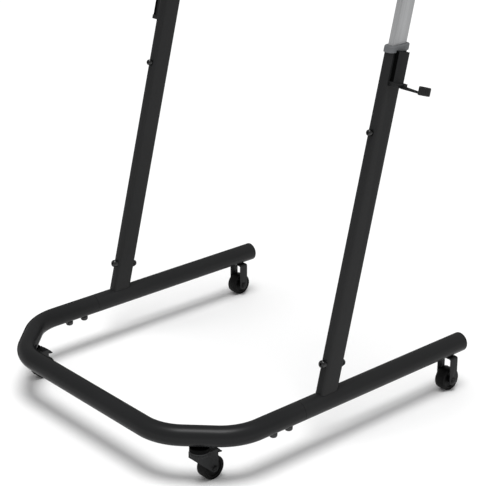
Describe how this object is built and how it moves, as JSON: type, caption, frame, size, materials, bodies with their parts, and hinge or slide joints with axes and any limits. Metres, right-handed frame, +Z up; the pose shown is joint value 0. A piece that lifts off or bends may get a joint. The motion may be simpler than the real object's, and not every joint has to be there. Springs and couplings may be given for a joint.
{
  "type": "rolling height-adjustable stand",
  "caption": "Rolling U-shaped tube base on casters with two leaning telescopic posts, a hand-released brake and two head plates tied by a crossbar for a desktop.",
  "frame": {"origin": "centre of the bounding box at floor level; the base is symmetric about the plane X = -0.0370 m, which lies to the left of the origin because the release lever on the right post counts in the box", "axes": "+Z up; +Y from the closed front bar towards the open rear of the base; +X towards the release lever"},
  "size_m": [0.8866, 0.8298, 1.0797],
  "materials": {
    "powder_coat": "fine-textured black powder coat",
    "brushed_tube": "brushed satin, unpainted",
    "grey_plastic": "matte moulded grey",
    "black_plastic": "matte moulded black",
    "black_steel": "satin black finish on pressed and turned steel",
    "wheel_black": "smooth hard plastic tread",
    "zinc": "zinc plated"
  },
  "bodies": {
    "base": {"brake_housing_left": "powder_coat", "brake_housing_right": "powder_coat", "collar_left": "grey_plastic", "collar_right": "grey_plastic", "front_tube": "powder_coat", "guide_bush_left": "black_plastic", "guide_bush_right": "black_plastic", "guide_pad_left": "grey_plastic", "guide_screw_left": "black_steel", "guide_screw_right": "black_steel", "joint_bolt_left_1": "black_steel", "joint_bolt_left_2": "black_steel", "joint_bolt_right_1": "black_steel", "joint_bolt_right_2": "black_steel", "lever_pin": "zinc", "lever_spring": "zinc", "outer_post_left": "powder_coat", "outer_post_right": "powder_coat", "post_bolt_left": "black_steel", "post_bolt_right": "black_steel", "post_nut_left": "black_steel", "post_nut_right": "black_steel", "post_stub_left": "black_steel", "post_stub_right": "black_steel", "rail_cap_left": "black_plastic", "rail_cap_right": "black_plastic", "rail_spigot_left": "powder_coat", "rail_spigot_right": "powder_coat", "rear_axle_left": "black_steel", "rear_axle_right": "black_steel", "rear_fork_left": "black_steel", "rear_fork_right": "black_steel", "side_rail_left": "powder_coat", "side_rail_right": "powder_coat", "swivel_race_left": "black_steel", "swivel_race_right": "black_steel"},
    "carriage": {"crossbar": "powder_coat", "crossbar_bolt_left_1": "black_steel", "crossbar_bolt_left_2": "black_steel", "crossbar_bolt_right_1": "black_steel", "crossbar_bolt_right_2": "black_steel", "glide_left": "black_plastic", "glide_right": "black_plastic", "head_plate_left": "powder_coat", "head_plate_right": "powder_coat", "inner_tube_left": "brushed_tube", "inner_tube_right": "brushed_tube"},
    "release_lever": {"release_lever": "black_steel", "lever_grip": "black_plastic"},
    "brake_shoe": {"brake_shoe_right": "grey_plastic"},
    "front_fork_left": {"front_fork_left": "black_steel", "front_axle_left": "black_steel"},
    "brake_pedal_left": {"brake_pedal_left": "black_steel"},
    "front_wheel_left": {"front_wheel_left": "wheel_black"},
    "rear_wheel_left": {"rear_wheel_left": "wheel_black"},
    "front_fork_right": {"front_fork_right": "black_steel", "front_axle_right": "black_steel"},
    "brake_pedal_right": {"brake_pedal_right": "black_steel"},
    "front_wheel_right": {"front_wheel_right": "wheel_black"},
    "rear_wheel_right": {"rear_wheel_right": "wheel_black"}
  },
  "joints": [
    {"name": "carriage_slide", "type": "slide", "parent": "base", "child": "carriage", "axis": [0, 0.2424, 0.9702], "range_m": [-0.2, 0.195]},
    {"name": "lever_hinge", "type": "hinge", "parent": "base", "child": "release_lever", "pos_m": [0.35995, 0.14215, 0.78751], "axis": [0, 0.9702, -0.2424], "range_deg": [0, 6], "stiffness_Nm_per_rad": 3, "springref_deg": -5.73},
    {"name": "shoe_slide", "type": "slide", "parent": "base", "child": "brake_shoe", "axis": [1, 0, 0], "range_m": [0, 0.0037]},
    {"name": "front_swivel_left", "type": "hinge", "parent": "base", "child": "front_fork_left", "pos_m": [-0.3466, -0.33244, 0.07667], "axis": [0, 0, 1], "continuous": true},
    {"name": "front_wheel_spin_left", "type": "hinge", "parent": "front_fork_left", "child": "front_wheel_left", "pos_m": [-0.3466, -0.30364, 0.02667], "axis": [1, 0, 0], "continuous": true},
    {"name": "brake_pedal_hinge_left", "type": "hinge", "parent": "front_fork_left", "child": "brake_pedal_left", "pos_m": [-0.3466, -0.31869, 0.06437], "axis": [-1, 0, 0], "range_deg": [0, 6]},
    {"name": "rear_wheel_spin_left", "type": "hinge", "parent": "base", "child": "rear_wheel_left", "pos_m": [-0.40685, 0.37181, 0.02667], "axis": [1, 0, 0], "continuous": true},
    {"name": "front_swivel_right", "type": "hinge", "parent": "base", "child": "front_fork_right", "pos_m": [0.2727, -0.33244, 0.07667], "axis": [0, 0, 1], "continuous": true},
    {"name": "front_wheel_spin_right", "type": "hinge", "parent": "front_fork_right", "child": "front_wheel_right", "pos_m": [0.2727, -0.30364, 0.02667], "axis": [1, 0, 0], "continuous": true},
    {"name": "brake_pedal_hinge_right", "type": "hinge", "parent": "front_fork_right", "child": "brake_pedal_right", "pos_m": [0.2727, -0.31869, 0.06437], "axis": [-1, 0, 0], "range_deg": [0, 6]},
    {"name": "rear_wheel_spin_right", "type": "hinge", "parent": "base", "child": "rear_wheel_right", "pos_m": [0.33295, 0.37181, 0.02667], "axis": [1, 0, 0], "continuous": true}
  ],
  "couplings": [
    {"joint": "shoe_slide", "follows": "lever_hinge", "m_per_rad": 0.034}
  ]
}
